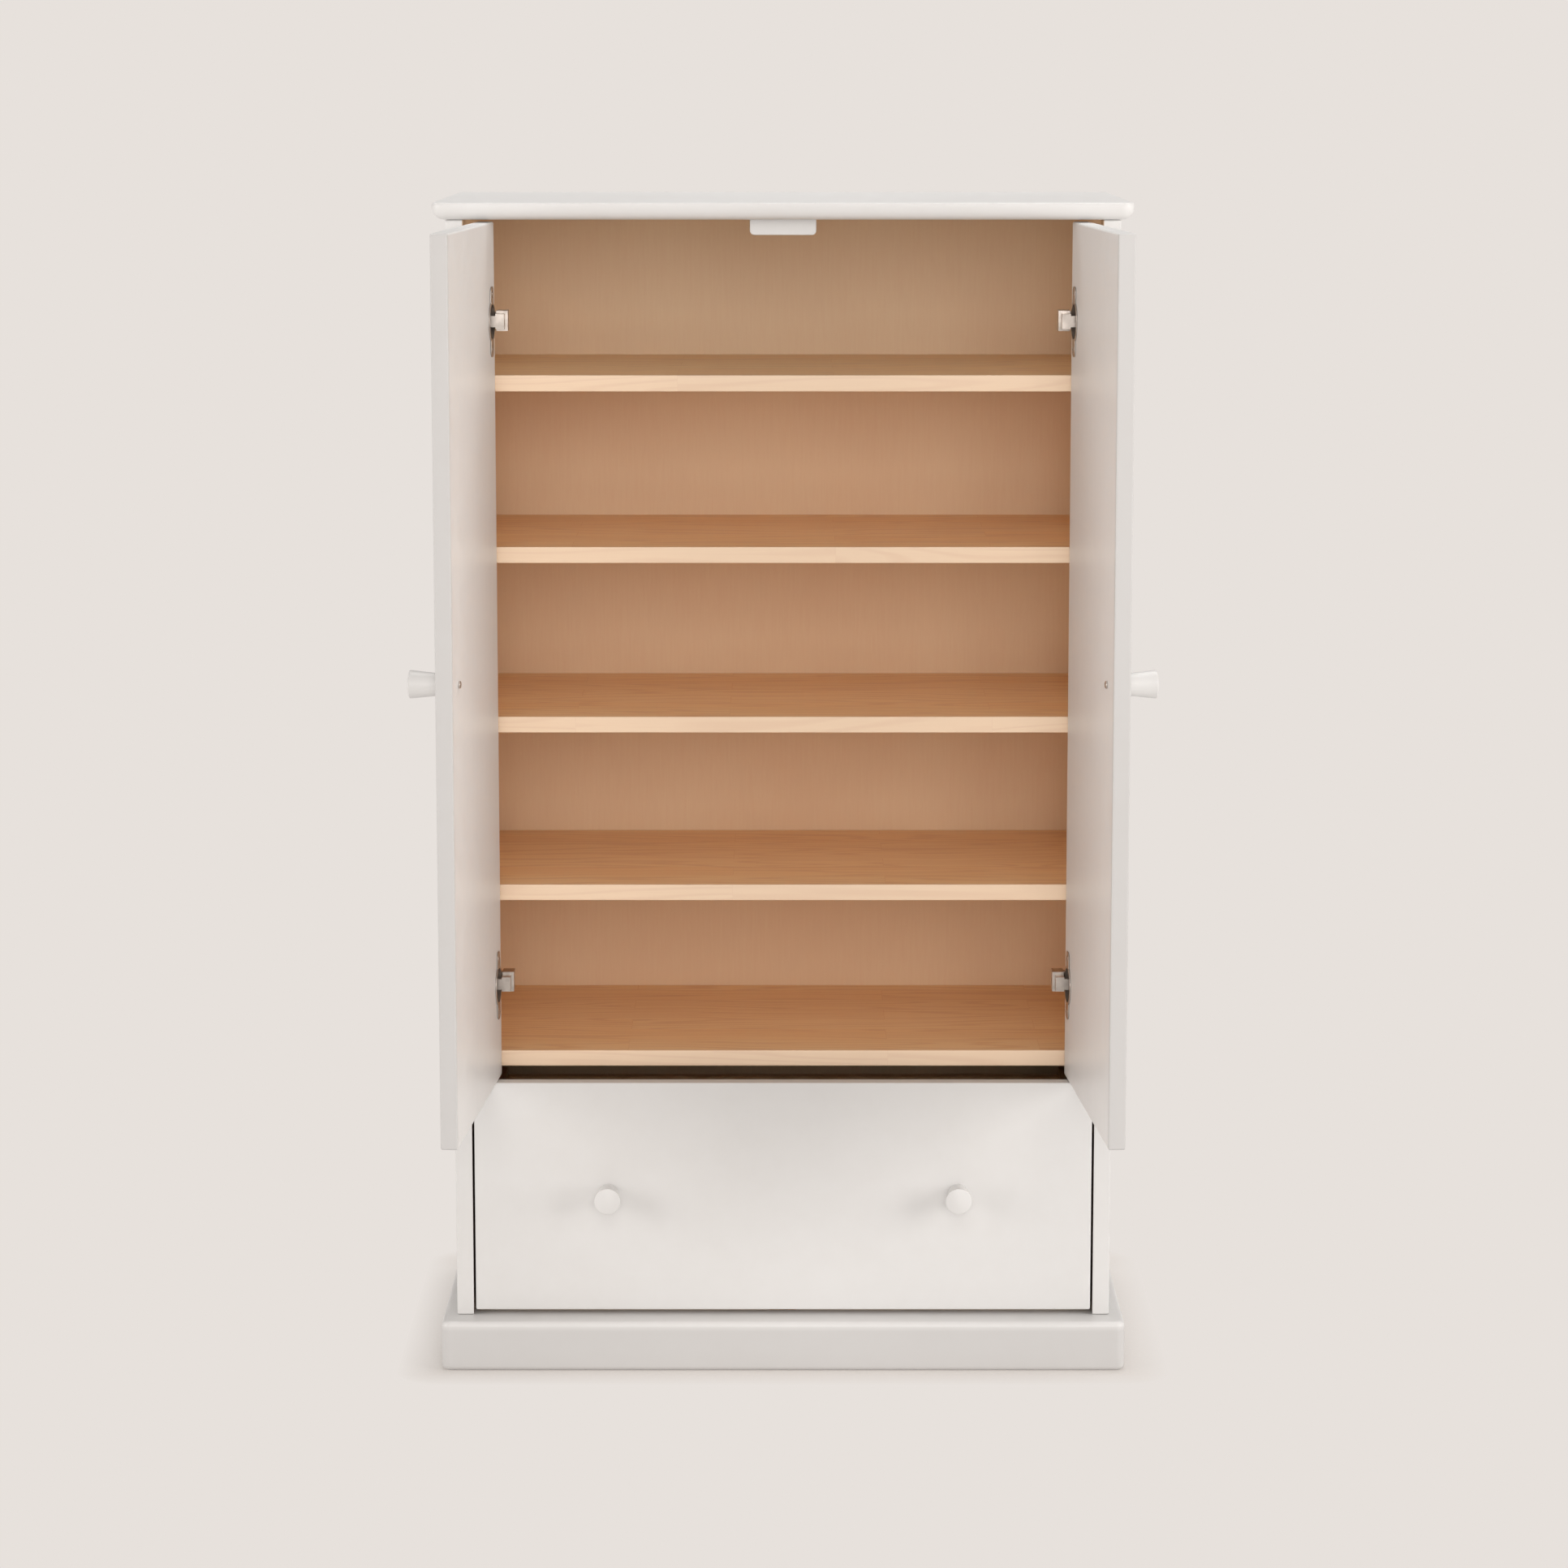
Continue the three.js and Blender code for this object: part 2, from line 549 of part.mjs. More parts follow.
function drawer() {
  const half = DRAWER_FRONT_WIDTH / 2;
  const start = DRAWER_BACK_OF_FRONT + GAP;
  const innerX = DRAWER_SIDE_OUTER - DRAWER_SIDE_THICK;
  const front = [FRONT, DRAWER_BACK_OF_FRONT];
  addBoard("drawer_front", "whitePaint", [-half, half], front, [DRAWER_BOTTOM_Z, DRAWER_TOP_Z]);
  drawerSide("drawer_side_left", -1);
  drawerSide("drawer_side_right", 1);
  const backHalf = innerX - GAP;
  const backY = [start + DRAWER_LENGTH - 18, start + DRAWER_LENGTH - 3];
  const backZ = [DRAWER_PANEL_Z + DRAWER_PANEL + 2 * GAP, DRAWER_BACK_TOP];
  addBoard("drawer_back", "drawerBox", [-backHalf, backHalf], backY, backZ, 1);
  const panelHalf = innerX + DRAWER_PANEL_SLOT - 1;
  const panelZ = [DRAWER_PANEL_Z, DRAWER_PANEL_Z + DRAWER_PANEL];
  const panelY = [start, start + DRAWER_LENGTH];
  addBoard("drawer_bottom", "drawerBox", [-panelHalf, panelHalf], panelY, panelZ, 1);
  for (const [hand, sign] of [["left", -1], ["right", 1]]) {
    const at = [sign * DRAWER_KNOB_X, FRONT - GAP, DRAWER_KNOB_HEIGHT];
    add(`drawer_knob_${hand}`, knobGeometry(), "whitePaint", at);
  }
}

function drawerRunner(name, sign) {
  const outer = INNER_X - GAP;
  const inner = outer - RUNNER_THICK;
  const span = sign > 0 ? [inner, outer] : [-outer, -inner];
  const start = FRONT + BASE_SETBACK;
  addBoard(name, "hardwood", span, [start, start + RUNNER_LENGTH], RUNNER_Z, 1);
}

// ---- assembly -----------------------------------------------------------------------------------

topPanel();
side("side_left", -1);
side("side_right", 1);
backPanel();
basePanel();
compartmentFloor();
shelves();
shelfPins();
doorStop();
plinthFront();
plinthSide("plinth_left", -1);
plinthSide("plinth_right", 1);
plinthBackAndBearer();
for (const [hand, sign] of [["left", -1], ["right", 1]]) {
  door(hand, sign);
  for (const [level, height] of Object.entries(HINGE_HEIGHTS)) {
    hingeArm(`hinge_arm_${hand}_${level}`, sign, height);
    hingePlate(`hinge_plate_${hand}_${level}`, sign, height);
  }
  drawerRunner(`drawer_runner_${hand}`, sign);
}
drawer();

export default armoire;
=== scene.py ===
"""A small white armoire with pine shelves, its doors open, in plain soft studio light."""

import json
import math

import bmesh
import bpy
from mathutils import Matrix, Vector


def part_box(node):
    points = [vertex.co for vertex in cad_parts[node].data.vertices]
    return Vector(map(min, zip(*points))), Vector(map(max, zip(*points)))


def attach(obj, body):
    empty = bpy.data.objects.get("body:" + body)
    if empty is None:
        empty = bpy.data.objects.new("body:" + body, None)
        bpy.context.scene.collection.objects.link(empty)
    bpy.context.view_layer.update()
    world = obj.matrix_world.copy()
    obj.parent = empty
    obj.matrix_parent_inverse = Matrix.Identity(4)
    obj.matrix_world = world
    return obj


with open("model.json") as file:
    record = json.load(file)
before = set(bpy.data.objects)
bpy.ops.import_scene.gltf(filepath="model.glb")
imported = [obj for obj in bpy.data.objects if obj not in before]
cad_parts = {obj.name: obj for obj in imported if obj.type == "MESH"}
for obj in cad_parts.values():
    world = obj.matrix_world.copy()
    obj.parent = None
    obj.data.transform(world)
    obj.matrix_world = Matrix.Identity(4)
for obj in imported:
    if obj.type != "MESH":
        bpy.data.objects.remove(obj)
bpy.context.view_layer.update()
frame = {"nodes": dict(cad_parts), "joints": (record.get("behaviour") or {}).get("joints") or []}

# ---- camera: metres and degrees, in the armoire's frame --------------------------------------------

CAMERA_DISTANCE = 4.831
CAMERA_HEIGHT = 1.436
CAMERA_PITCH = 8.47  # looking down
CAMERA_LENS = 98.3  # on a 36 mm sensor
CAMERA_SHIFT = -0.05  # up or down, in widths of the picture
CAMERA_OFFSET = 0.001  # to the right

# ---- colours, linear -------------------------------------------------------------------------------

BACKDROP = (0.799, 0.753, 0.716)
PAINT_LIGHT = (0.725, 0.72, 0.715)
PAINT_DARK = (0.695, 0.685, 0.675)
PAINT_SHADE = (0.45, 0.44, 0.435)  # painted shade: the plinth's front and the doors' free edges
PINE_PALE = (0.97, 0.70, 0.42)
PINE_MID = (0.95, 0.63, 0.345)
PINE_RING = (0.72, 0.36, 0.14)
PINE_HIGHLIGHT = (0.97, 0.79, 0.64)  # painted highlight on a shelf's front edge
BACK_LIGHT = (0.945, 0.735, 0.51)
BACK_DARK = (0.905, 0.67, 0.455)
BAY_SHADE = (0.07, 0.045, 0.035)  # painted shade on the sides, where the drawer runs
BEECH = (0.56, 0.33, 0.17)
BEECH_FLECK = (0.40, 0.21, 0.10)
NICKEL = (0.60, 0.545, 0.50)
NICKEL_DARK = (0.42, 0.38, 0.345)
RECESS_SHADE = (0.05, 0.045, 0.04)
FLOOR_LIGHT = (0.78, 0.745, 0.715)
FLOOR_DARK = (0.75, 0.715, 0.685)

# ---- sizes, metres ---------------------------------------------------------------------------------

SMOOTH_LIMIT = 38  # degrees: a sharper edge than this stays crisp
GAP = 0.0003  # between two CAD pieces that touch
DOOR_HALF_THICK = 0.0090
CUP_FROM_PIVOT = 0.0060  # cup centre, towards the door's free edge
FLANGE_THICK = 0.0010
FLANGE_SCREW_REACH = 0.0300  # above and below the cup's centre
PLATE_WING_Y = 0.0280  # from the front of a hinge plate to its wings' middle
PLATE_WING_THICK = 0.0030
PLATE_SCREW_REACH = 0.0200
ARM_THICK = 0.0102  # from the face on the plate to the face with the screw
ARM_SCREW_FROM_BACK = 0.0160  # from the back end of a hinge arm
NAIL_INSET = 0.0090
NAIL_PITCH = 0.12
HIGHLIGHT_DEPTH = 0.002  # how far back the painted highlight on a shelf's front edge reaches
HIGHLIGHT_SOFTNESS = 0.0008
FACING_MARGIN = 0.0004  # past a side's inner face, so that the tan facing covers it
PLINTH_SHADE = (0.010, 0.003)  # below the plinth's top: where the painted shade is full, and where it ends
DOOR_EDGE_SHADE = (0.0025, 0.0055)  # behind the doors' free edges: where the painted shade is full, and where it ends
LEVELS_PER_METRE = 5.3  # about one to each shelf
RINGS = 95.0  # radians of growth ring over the whole range of the pine's noise
STAVE_SLIDE = 0.173  # from the butt joints of one level to those of the next

# A screw's or nail's head: radius and height.
FLANGE_HEAD = (0.0036, 0.0007)
PLATE_HEAD = (0.0036, 0.0016)
ARM_HEAD = (0.0040, 0.0014)
NAIL_HEAD = (0.0022, 0.0005)
KNOB_SCREW_HEAD = (0.0040, 0.0022)

# ---- material helpers ------------------------------------------------------------------------------


class Recipe:
    """A material under construction, with short ways to add nodes and join them."""

    def __init__(self, name, roughness=0.5, metallic=0.0):
        self.material = bpy.data.materials.new(name)
        self.material.use_nodes = True
        self.tree = self.material.node_tree
        self.shader = self.tree.nodes["Principled BSDF"]
        self.shader.inputs["Roughness"].default_value = roughness
        self.shader.inputs["Metallic"].default_value = metallic
        self.place = self.tree.nodes.new("ShaderNodeTexCoord").outputs["Object"]

    def node(self, kind, **inputs):
        node = self.tree.nodes.new(kind)
        for key, value in inputs.items():
            self.join(value, node.inputs[key.replace("_", " ")])
        return node

    def join(self, value, socket):
        if isinstance(value, bpy.types.NodeSocket):
            self.tree.links.new(value, socket)
        elif isinstance(value, tuple) and socket.type == "RGBA":
            socket.default_value = (*value, 1.0)
        else:
            socket.default_value = value

    def scaled(self, place, scale):
        node = self.node("ShaderNodeMapping", Vector=place)
        node.inputs["Scale"].default_value = scale
        return node.outputs[0]

    def noise(self, place, scale, detail=2.0, roughness=0.5, distortion=0.0):
        return self.node(
            "ShaderNodeTexNoise", Vector=place, Scale=scale, Detail=detail,
            Roughness=roughness, Distortion=distortion,
        ).outputs["Fac"]

    def math(self, operation, first, second=0.0):
        node = self.tree.nodes.new("ShaderNodeMath")
        node.operation = operation
        self.join(first, node.inputs[0])
        self.join(second, node.inputs[1])
        return node.outputs[0]

    def spread(self, value, low, high, out_low=0.0, out_high=1.0):
        """Map low to high onto out_low to out_high, and hold beyond them."""
        node = self.node("ShaderNodeMapRange", Value=value, From_Min=low, From_Max=high)
        node.inputs["To Min"].default_value = out_low
        node.inputs["To Max"].default_value = out_high
        return node.outputs[0]

    def blend(self, factor, first, second):
        """Mix two colours; 0, 6, 7 and 2 are the Mix node's sockets for them."""
        node = self.tree.nodes.new("ShaderNodeMix")
        node.data_type = "RGBA"
        self.join(factor, node.inputs[0])
        self.join(first, node.inputs[6])
        self.join(second, node.inputs[7])
        return node.outputs[2]

    def axis(self, place, index):
        return self.node("ShaderNodeSeparateXYZ", Vector=place).outputs[index]

    def bump(self, height, strength, distance, under=None):
        node = self.node("ShaderNodeBump", Height=height, Strength=strength, Distance=distance)
        if under is not None:
            self.join(under, node.inputs["Normal"])
        return node.outputs[0]

    def finish(self, **inputs):
        for key, value in inputs.items():
            self.join(value, self.shader.inputs[key.replace("_", " ")])
        return self.material


# ---- materials -------------------------------------------------------------------------------------


def painted(recipe):
    """Satin sprayed paint: a faint drift of tone, and a fine film texture. Returns its colour."""
    drift = recipe.noise(recipe.place, 2.6, detail=3.0)
    mottle = recipe.noise(recipe.place, 55.0)
    film = recipe.noise(recipe.place, 700.0, roughness=0.6)
    tone = recipe.spread(recipe.math("ADD", drift, recipe.math("MULTIPLY", mottle, 0.25)), 0.45, 0.8)
    skin = recipe.bump(film, 0.10, 0.00012)
    gloss = recipe.spread(mottle, 0.3, 0.7, 0.36, 0.46)
    recipe.finish(Roughness=gloss, Normal=skin)
    return recipe.blend(tone, PAINT_DARK, PAINT_LIGHT)


def white_paint():
    recipe = Recipe("white_paint")
    return recipe.finish(Base_Color=painted(recipe))


def paint_with_shade(name, index, full_shade_at, no_shade_at, shade_amount=0.5):
    """White paint with painted shade: fully shaded at one place on an axis, unshaded at another.

    index is the axis, 0 to 2. The paint stays fully shaded, or unshaded, beyond the two places."""
    recipe = Recipe(name)
    amount = recipe.spread(recipe.axis(recipe.place, index), full_shade_at, no_shade_at, shade_amount, 0.0)
    return recipe.finish(Base_Color=recipe.blend(amount, painted(recipe), PAINT_SHADE))


def side_paint(name, inner_x, bay_top):
    """The carcass sides: painted outside and on the edges, tan inside, and with painted shade below
    bay_top.
    """
    recipe = Recipe(name)
    paint = painted(recipe)
    distance = recipe.math("ABSOLUTE", recipe.axis(recipe.place, 0))
    inside = recipe.math("LESS_THAN", distance, inner_x)
    # painted shade in the drawer bay, below the compartment floor
    in_bay = recipe.math("LESS_THAN", recipe.axis(recipe.place, 2), bay_top)
    lining_and_shade = recipe.blend(in_bay, tan_colour(recipe), BAY_SHADE)
    return recipe.finish(Base_Color=recipe.blend(inside, paint, lining_and_shade))


def board_grain(recipe):
    """The faintest upright figure, for tan faced board."""
    return recipe.noise(recipe.scaled(recipe.place, (1.0, 1.0, 0.06)), 420.0, detail=3.0, roughness=0.65)


def tan_colour(recipe):
    cloud = recipe.noise(recipe.place, 3.5, detail=3.0)
    fleck = board_grain(recipe)
    tone = recipe.math("ADD", recipe.math("MULTIPLY", cloud, 0.7), recipe.math("MULTIPLY", fleck, 0.3))
    return recipe.blend(recipe.spread(tone, 0.38, 0.62), BACK_DARK, BACK_LIGHT)


def back_board():
    recipe = Recipe("back_board", roughness=0.5)
    grain = board_grain(recipe)
    return recipe.finish(Base_Color=tan_colour(recipe), Normal=recipe.bump(grain, 0.08, 0.0001))


def pine(name, along, across, row_height=0.052, stave=0.46, edge_y=None):
    """Edge-glued pine: staves with butt joints, growth rings and fine fibre.

    along and across are the axes, 0 to 2, of the grain and of the row of staves. The board is paler
    in front of edge_y: a painted highlight on its front edge."""
    recipe = Recipe(name)
    parts = [recipe.axis(recipe.place, index) for index in range(3)]
    thick = parts[3 - along - across]
    level = recipe.math("FLOOR", recipe.math("MULTIPLY", thick, LEVELS_PER_METRE))
    slide = recipe.math("ADD", parts[along], recipe.math("MULTIPLY", level, STAVE_SLIDE))
    flat = recipe.node("ShaderNodeCombineXYZ", X=slide, Y=parts[across]).outputs[0]
    bricks = recipe.node(
        "ShaderNodeTexBrick", Vector=flat, Color1=(0.0, 0.0, 0.0), Color2=(1.0, 1.0, 1.0),
        Mortar=(0.5, 0.5, 0.5), Scale=1.0, Mortar_Size=0.00035, Mortar_Smooth=0.4,
        Brick_Width=stave, Row_Height=row_height,
    )
    bricks.offset = 0.37  # from one row's butt joints to the next row's, in staves
    each = recipe.node("ShaderNodeSeparateColor", Color=bricks.outputs["Color"]).outputs[0]
    seed = recipe.math("ADD", recipe.math("MULTIPLY", each, 9.0), recipe.math("MULTIPLY", level, 3.7))
    run = recipe.math("MULTIPLY", parts[along], 1.1)
    width = recipe.math("ADD", recipe.math("MULTIPLY", parts[across], 13.0), seed)
    depth = recipe.math("MULTIPLY", thick, 13.0)
    warp = recipe.node("ShaderNodeCombineXYZ", X=run, Y=width, Z=depth).outputs[0]
    field = recipe.noise(warp, 1.3, roughness=0.45, distortion=0.15)
    rings = recipe.math("SINE", recipe.math("MULTIPLY", field, RINGS))
    rings = recipe.spread(rings, 0.1, 1.0)
    fine_run = recipe.math("MULTIPLY", parts[along], 14.0)
    fine_width = recipe.math("MULTIPLY", parts[across], 900.0)
    fine_depth = recipe.math("MULTIPLY", thick, 900.0)
    fine = recipe.node("ShaderNodeCombineXYZ", X=fine_run, Y=fine_width, Z=fine_depth).outputs[0]
    fibre = recipe.noise(fine, 1.0, detail=3.0, roughness=0.6)
    body = recipe.blend(recipe.spread(each, 0.0, 1.0, 0.15, 0.85), PINE_PALE, PINE_MID)
    body = recipe.blend(recipe.math("MULTIPLY", rings, 0.42), body, PINE_RING)
    body = recipe.blend(recipe.spread(fibre, 0.45, 0.8, 0.0, 0.22), body, PINE_RING)
    glue = recipe.math("MULTIPLY", bricks.outputs["Fac"], 0.35)
    body = recipe.blend(glue, body, PINE_RING)
    if edge_y is not None:
        # painted highlight on the board's front edge
        edge = recipe.spread(parts[1], edge_y - HIGHLIGHT_SOFTNESS, edge_y + HIGHLIGHT_SOFTNESS, 0.6, 0.0)
        body = recipe.blend(edge, body, PINE_HIGHLIGHT)
    relief = recipe.bump(fibre, 0.12, 0.00015)
    relief = recipe.bump(rings, 0.06, 0.0002, relief)
    gloss = recipe.spread(rings, 0.0, 1.0, 0.46, 0.36)
    return recipe.finish(Base_Color=body, Roughness=gloss, Normal=relief)


def beech():
    recipe = Recipe("beech", roughness=0.42)
    fleck = recipe.noise(
        recipe.scaled(recipe.place, (420.0, 30.0, 420.0)), 1.0, detail=3.0, roughness=0.6
    )
    tone = recipe.noise(recipe.scaled(recipe.place, (30.0, 3.0, 30.0)), 1.0, detail=3.0)
    mix = recipe.math("ADD", recipe.math("MULTIPLY", tone, 0.5), recipe.math("MULTIPLY", fleck, 0.5))
    colour = recipe.blend(recipe.spread(mix, 0.4, 0.7), BEECH, BEECH_FLECK)
    return recipe.finish(Base_Color=colour, Normal=recipe.bump(fleck, 0.15, 0.0002))


def nickel():
    """Satin nickel plate: tiny scratches along Z and a little tarnish."""
    recipe = Recipe("nickel", roughness=0.25, metallic=1.0)
    scratch = recipe.noise(
        recipe.scaled(recipe.place, (1600.0, 1600.0, 60.0)), 1.0, detail=3.0, roughness=0.6
    )
    smudge = recipe.noise(recipe.place, 90.0, detail=3.0)
    colour = recipe.blend(recipe.spread(smudge, 0.35, 0.75), NICKEL, NICKEL_DARK)
    gloss = recipe.spread(smudge, 0.3, 0.7, 0.30, 0.46)
    return recipe.finish(
        Base_Color=colour, Roughness=gloss, Normal=recipe.bump(scratch, 0.12, 0.00006)
    )


def recess_metal():
    """The shaded inside of a screw's cross."""
    recipe = Recipe("recess_metal", roughness=0.55, metallic=1.0)
    recess_mottle = recipe.noise(recipe.place, 1800.0)
    # painted shade in the cross's recess, mottled with dark nickel
    colour = recipe.blend(recipe.spread(recess_mottle, 0.3, 0.8), RECESS_SHADE, NICKEL_DARK)
    return recipe.finish(Base_Color=colour)


def floor_surface(half_width, half_depth, reach):
    """Pale floor: the backdrop's own colour, but dull round the plinth so that it takes a shadow."""
    recipe = Recipe("pale_floor", roughness=0.9)
    tree = recipe.tree
    squares = []
    for index, half in enumerate((half_width, half_depth)):
        beyond = recipe.math("SUBTRACT", recipe.math("ABSOLUTE", recipe.axis(recipe.place, index)), half)
        beyond = recipe.math("MAXIMUM", beyond, 0.0)
        squares.append(recipe.math("MULTIPLY", beyond, beyond))
    away = recipe.math("SQRT", recipe.math("ADD", *squares))
    grain = recipe.noise(recipe.place, 260.0)
    tint = recipe.blend(recipe.spread(grain, 0.3, 0.7), FLOOR_LIGHT, FLOOR_DARK)
    recipe.finish(Base_Color=tint, Specular_IOR_Level=0.0)
    glow = recipe.node("ShaderNodeEmission", Color=BACKDROP, Strength=1.0)
    mix = recipe.node("ShaderNodeMixShader")
    recipe.join(recipe.spread(away, 0.0, reach, 0.2, 1.0), mix.inputs[0])
    tree.links.new(recipe.shader.outputs[0], mix.inputs[1])
    tree.links.new(glow.outputs[0], mix.inputs[2])
    tree.links.new(mix.outputs[0], tree.nodes["Material Output"].inputs["Surface"])
    return recipe.material


# ---- smooth shading on the CAD meshes --------------------------------------------------------------


def smoothing_group(limit_degrees):
    """A node group that shades a mesh smooth, except across edges sharper than the limit."""
    group = bpy.data.node_groups.new("smooth_by_angle", "GeometryNodeTree")
    group.interface.new_socket("Geometry", in_out="INPUT", socket_type="NodeSocketGeometry")
    group.interface.new_socket("Geometry", in_out="OUTPUT", socket_type="NodeSocketGeometry")
    nodes = group.nodes
    start = nodes.new("NodeGroupInput")
    end = nodes.new("NodeGroupOutput")
    faces = nodes.new("GeometryNodeSetShadeSmooth")
    edges = nodes.new("GeometryNodeSetShadeSmooth")
    edges.domain = "EDGE"
    angle = nodes.new("GeometryNodeInputMeshEdgeAngle")
    sharp = nodes.new("FunctionNodeCompare")
    sharp.operation = "GREATER_THAN"
    sharp.inputs[1].default_value = math.radians(limit_degrees)
    edges.inputs["Shade Smooth"].default_value = False
    links = group.links
    links.new(angle.outputs[0], sharp.inputs[0])
    links.new(sharp.outputs[0], edges.inputs["Selection"])
    links.new(start.outputs[0], faces.inputs["Geometry"])
    links.new(faces.outputs[0], edges.inputs["Geometry"])
    links.new(edges.outputs[0], end.inputs[0])
    return group


def shade_smooth(obj, group):
    """Smooth the rounded edges; normals weighted by area keep the large faces flat."""
    weld = obj.modifiers.new("weld", "WELD")
    weld.merge_threshold = 0.00001
    smooth = obj.modifiers.new("smooth", "NODES")
    smooth.node_group = group
    weighted = obj.modifiers.new("weighted", "WEIGHTED_NORMAL")
    weighted.keep_sharp = True


# ---- screws ----------------------------------------------------------------------------------------

SCREW_SIDES = 28
HEAD_PROFILE = [(1.0, 0.0), (1.0, 0.35), (0.93, 0.68), (0.78, 0.90), (0.62, 1.0)]  # of radius and height
CROSS_ARM = 0.46  # of the head's radius
CROSS_HALF_WIDTH = 0.10  # of the head's radius
CROSS_TAPER = 0.8  # the recess's floor, as a part of its rim
CROSS_FLOOR = 0.35  # of the head's height
SCREW_TURN = 0.7  # radians, from one screw's cross to the next one's


def ring(bm, radius, height, sides):
    step = 2 * math.pi / sides
    return [
        bm.verts.new((radius * math.cos(i * step), radius * math.sin(i * step), height))
        for i in range(sides)
    ]


def cross_outline(arm, width):
    """The twelve corners of an upright cross, anticlockwise."""
    corner = [(arm, -width), (arm, width), (width, width)]
    points = []
    for quarter in range(4):
        turn = Matrix.Rotation(quarter * math.pi / 2, 2)
        points += [turn @ Vector(point) for point in corner]
    return points


def screw_head(bm, radius, height, place, spin):
    """A low pan head with a cross recess, standing along +Z of the place matrix."""
    start = len(bm.verts)
    sides = SCREW_SIDES
    rings = [ring(bm, radius * r, height * h, sides) for r, h in HEAD_PROFILE]
    bm.faces.new(list(reversed(rings[0])))
    for lower, upper in zip(rings, rings[1:]):
        for i in range(sides):
            j = (i + 1) % sides
            bm.faces.new((lower[i], lower[j], upper[j], upper[i]))
    outline = cross_outline(radius * CROSS_ARM, radius * CROSS_HALF_WIDTH)
    corners = len(outline)
    top = [bm.verts.new((p.x, p.y, height)) for p in outline]
    floor = [bm.verts.new((p.x * CROSS_TAPER, p.y * CROSS_TAPER, height * CROSS_FLOOR)) for p in outline]
    rim = rings[-1]
    edges = [bm.edges.get((rim[i], rim[(i + 1) % sides])) for i in range(sides)]
    edges += [bm.edges.new((top[i], top[(i + 1) % corners])) for i in range(corners)]
    bmesh.ops.triangle_fill(bm, edges=edges, use_beauty=True)
    # the recess's walls and floor take the second material, with its painted shade
    for i in range(corners):
        j = (i + 1) % corners
        wall = bm.faces.new((top[i], top[j], floor[j], floor[i]))
        wall.material_index = 1
    bottom = bm.faces.new(floor)
    bottom.material_index = 1
    bm.verts.ensure_lookup_table()
    bmesh.ops.transform(bm, matrix=place @ Matrix.Rotation(spin, 4, "Z"), verts=bm.verts[start:])


def screw_set(name, body, heads, materials):
    """One object of several screw heads; heads is a list of (point, outward axis, radius, height)."""
    bm = bmesh.new()
    for index, (point, outward, radius, height) in enumerate(heads):
        turn = Vector(outward).to_track_quat("Z", "Y").to_matrix().to_4x4()
        screw_head(bm, radius, height, Matrix.Translation(point) @ turn, SCREW_TURN * index)
    bmesh.ops.recalc_face_normals(bm, faces=bm.faces)
    mesh = bpy.data.meshes.new(name)
    bm.to_mesh(mesh)
    bm.free()
    for material in materials:
        mesh.materials.append(material)
    piece = bpy.data.objects.new(name, mesh)
    bpy.context.scene.collection.objects.link(piece)
    shade_smooth(piece, smoothing)
    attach(piece, body)


def centre_of(node):
    low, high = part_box(node)
    return (low + high) / 2


def joint_named(name):
    return next(joint for joint in frame["joints"] if joint["name"] == name)


def door_directions(hand):
    """Unit vectors of an open door: from the pivot to its free edge, and out of its inner face."""
    pivot = Vector(joint_named(f"door_{hand}_hinge")["pos_m"])
    along = centre_of(f"door_{hand}") - pivot
    along.z = 0
    along.normalize()
    inward = Vector((1, 0, 0)) if hand == "left" else Vector((-1, 0, 0))
    face = (inward - along * inward.dot(along)).normalized()
    return pivot, along, face


def flange_screws(hand):
    """Two countersunk screws through each cup's flange."""
    pivot, along, face = door_directions(hand)
    seat = DOOR_HALF_THICK + GAP + FLANGE_THICK
    heads = []
    for level in ("lower", "upper"):
        height = centre_of(f"hinge_cup_{hand}_{level}").z
        for reach in (-FLANGE_SCREW_REACH, FLANGE_SCREW_REACH):
            point = pivot + along * CUP_FROM_PIVOT + face * seat
            point.z = height + reach
            heads.append((point, face, *FLANGE_HEAD))
    screw_set(f"flange_screws_{hand}", f"door_{hand}", heads, [metal, recess])


def plate_screws(hand):
    """Two screws in the wings of each hinge plate and one in the arm."""
    inward = Vector((1, 0, 0)) if hand == "left" else Vector((-1, 0, 0))
    heads = []
    for level in ("lower", "upper"):
        low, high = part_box(f"hinge_plate_{hand}_{level}")
        seat_x = low.x if hand == "left" else high.x
        middle = (low + high) / 2
        wing_y = low.y + PLATE_WING_Y
        for reach in (-PLATE_SCREW_REACH, PLATE_SCREW_REACH):
            point = Vector((seat_x, wing_y, middle.z + reach)) + inward * PLATE_WING_THICK
            heads.append((point, inward, *PLATE_HEAD))
        arm_low, arm_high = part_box(f"hinge_arm_{hand}_{level}")
        arm_middle = centre_of(f"hinge_arm_{hand}_{level}")
        arm_x = arm_low.x if hand == "left" else arm_high.x
        screw_x = arm_x + inward.x * ARM_THICK
        point = Vector((screw_x, arm_high.y - ARM_SCREW_FROM_BACK, arm_middle.z))
        heads.append((point, inward, *ARM_HEAD))
    screw_set(f"plate_screws_{hand}", "carcass", heads, [metal, recess])


def back_nails():
    """Small nails round the edge of the back panel."""
    low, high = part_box("back_panel")
    left, right = low.x + NAIL_INSET, high.x - NAIL_INSET
    bottom, top = low.z + NAIL_INSET, high.z - NAIL_INSET
    points = []
    rows = int((top - bottom) / NAIL_PITCH)
    for row in range(rows + 1):
        z = bottom + row * (top - bottom) / rows
        points += [(left, z), (right, z)]
    columns = int((right - left) / NAIL_PITCH)
    for column in range(1, columns):
        x = left + column * (right - left) / columns
        points += [(x, bottom), (x, top)]
    heads = [(Vector((x, high.y, z)), (0, 1, 0), *NAIL_HEAD) for x, z in points]
    screw_set("back_nails", "carcass", heads, [metal, recess])


